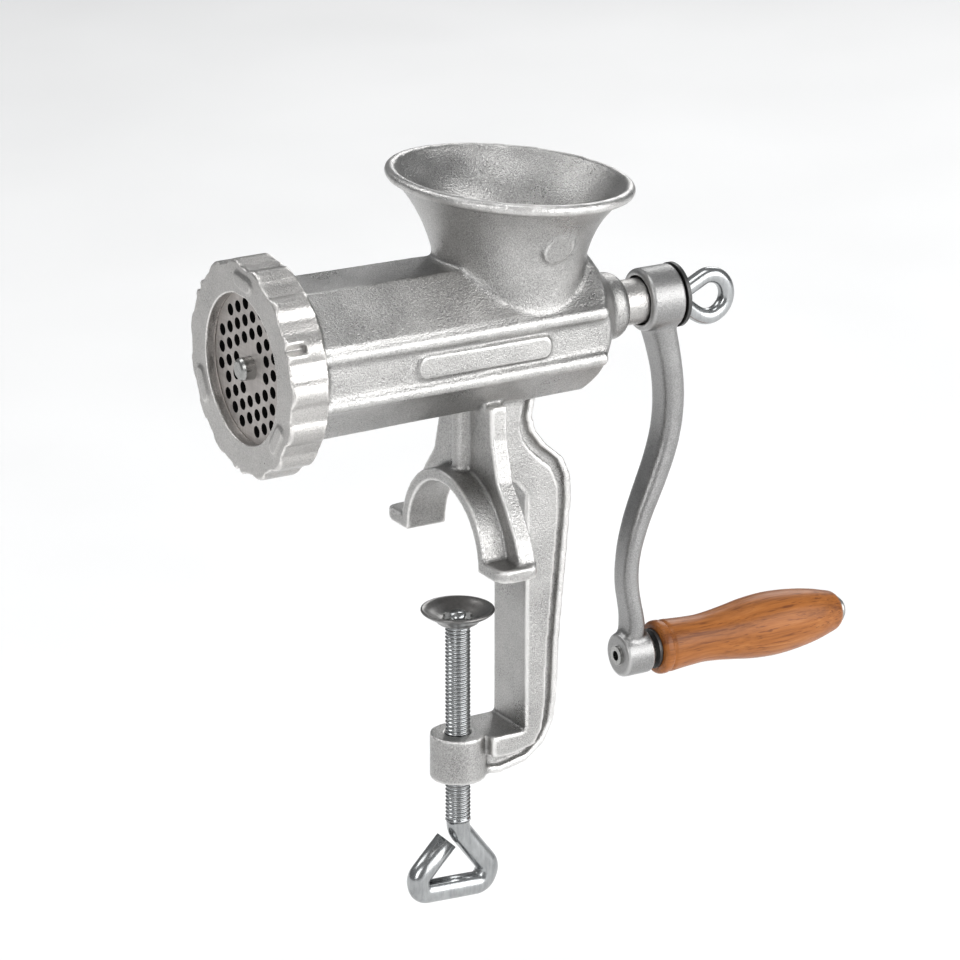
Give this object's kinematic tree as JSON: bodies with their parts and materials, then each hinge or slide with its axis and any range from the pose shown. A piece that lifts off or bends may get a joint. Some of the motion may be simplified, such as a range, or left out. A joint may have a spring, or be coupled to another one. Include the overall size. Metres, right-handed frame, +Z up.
{
  "type": "hand crank meat grinder",
  "caption": "Table-clamped hand crank meat grinder: cast hopper and barrel, screw ring with perforated disc, knife and feed screw inside, curved crank with wooden grip, clamp screw with pad.",
  "frame": {"origin": "where the clamp screw's axis meets the plane of the two clamp feet, which is the table top", "axes": "+Z up along the clamp screw; +X along the barrel from the outlet to the crank, so the table comes in from -X; +Y to the side without the raised panel"},
  "size_m": [0.2564, 0.0958, 0.2793],
  "materials": {
    "tinned_iron": "tin-plated, satin, fine cast grain",
    "ground_steel": "ground, dull grey",
    "plain_steel": "turned, satin",
    "zinc_steel": "zinc-plated, semi-bright",
    "beech": "varnished, semi-gloss"
  },
  "bodies": {
    "housing": {"body_casting": "tinned_iron", "disc_key_pin": "plain_steel"},
    "drive": {"feed_screw": "tinned_iron", "auger_stud": "plain_steel", "thrust_washer": "plain_steel", "cross_knife": "ground_steel", "crank_arm": "tinned_iron", "grip_axle": "plain_steel", "grip_inner_washer": "plain_steel", "grip_end_washer": "plain_steel"},
    "grip": {"wooden_grip": "beech"},
    "disc": {"perforated_disc": "ground_steel"},
    "ring": {"ring_nut": "tinned_iron"},
    "washer": {"crank_washer": "zinc_steel"},
    "eye_screw": {"crank_eye_screw": "zinc_steel"},
    "pad": {"clamp_pad": "zinc_steel"},
    "screw": {"clamp_screw": "zinc_steel", "pad_lock_washer": "plain_steel"}
  },
  "joints": [
    {"name": "crank_spin", "type": "hinge", "parent": "housing", "child": "drive", "pos_m": [0, 0, 0.082], "axis": [1, 0, 0], "continuous": true},
    {"name": "grip_spin", "type": "hinge", "parent": "drive", "child": "grip", "pos_m": [0.0842, 0, -0.0553], "axis": [1, 0, 0], "continuous": true},
    {"name": "disc_travel", "type": "slide", "parent": "housing", "child": "disc", "axis": [-1, 0, 0], "range_m": [0, 0.0121]},
    {"name": "ring_turn", "type": "hinge", "parent": "disc", "child": "ring", "pos_m": [-0.087, 0, 0.082], "axis": [-1, 0, 0], "range_deg": [0, 1440]},
    {"name": "washer_travel", "type": "slide", "parent": "drive", "child": "washer", "axis": [1, 0, 0], "range_m": [0, 0.0125]},
    {"name": "eye_turn", "type": "hinge", "parent": "washer", "child": "eye_screw", "pos_m": [0.09175, 0, 0.082], "axis": [1, 0, 0], "range_deg": [0, 3456]},
    {"name": "pad_travel", "type": "slide", "parent": "housing", "child": "pad", "axis": [0, 0, 1], "range_m": [-0.0424, 0.0168]},
    {"name": "clamp_turn", "type": "hinge", "parent": "pad", "child": "screw", "pos_m": [0, 0, -0.0234], "axis": [0, 0, 1], "range_deg": [-10152, 4008]}
  ],
  "couplings": [
    {"joint": "disc_travel", "follows": "ring_turn", "m_per_rad": 0.00047746},
    {"joint": "washer_travel", "follows": "eye_turn", "m_per_rad": 0.00019894},
    {"joint": "pad_travel", "follows": "clamp_turn", "m_per_rad": 0.00023873}
  ]
}
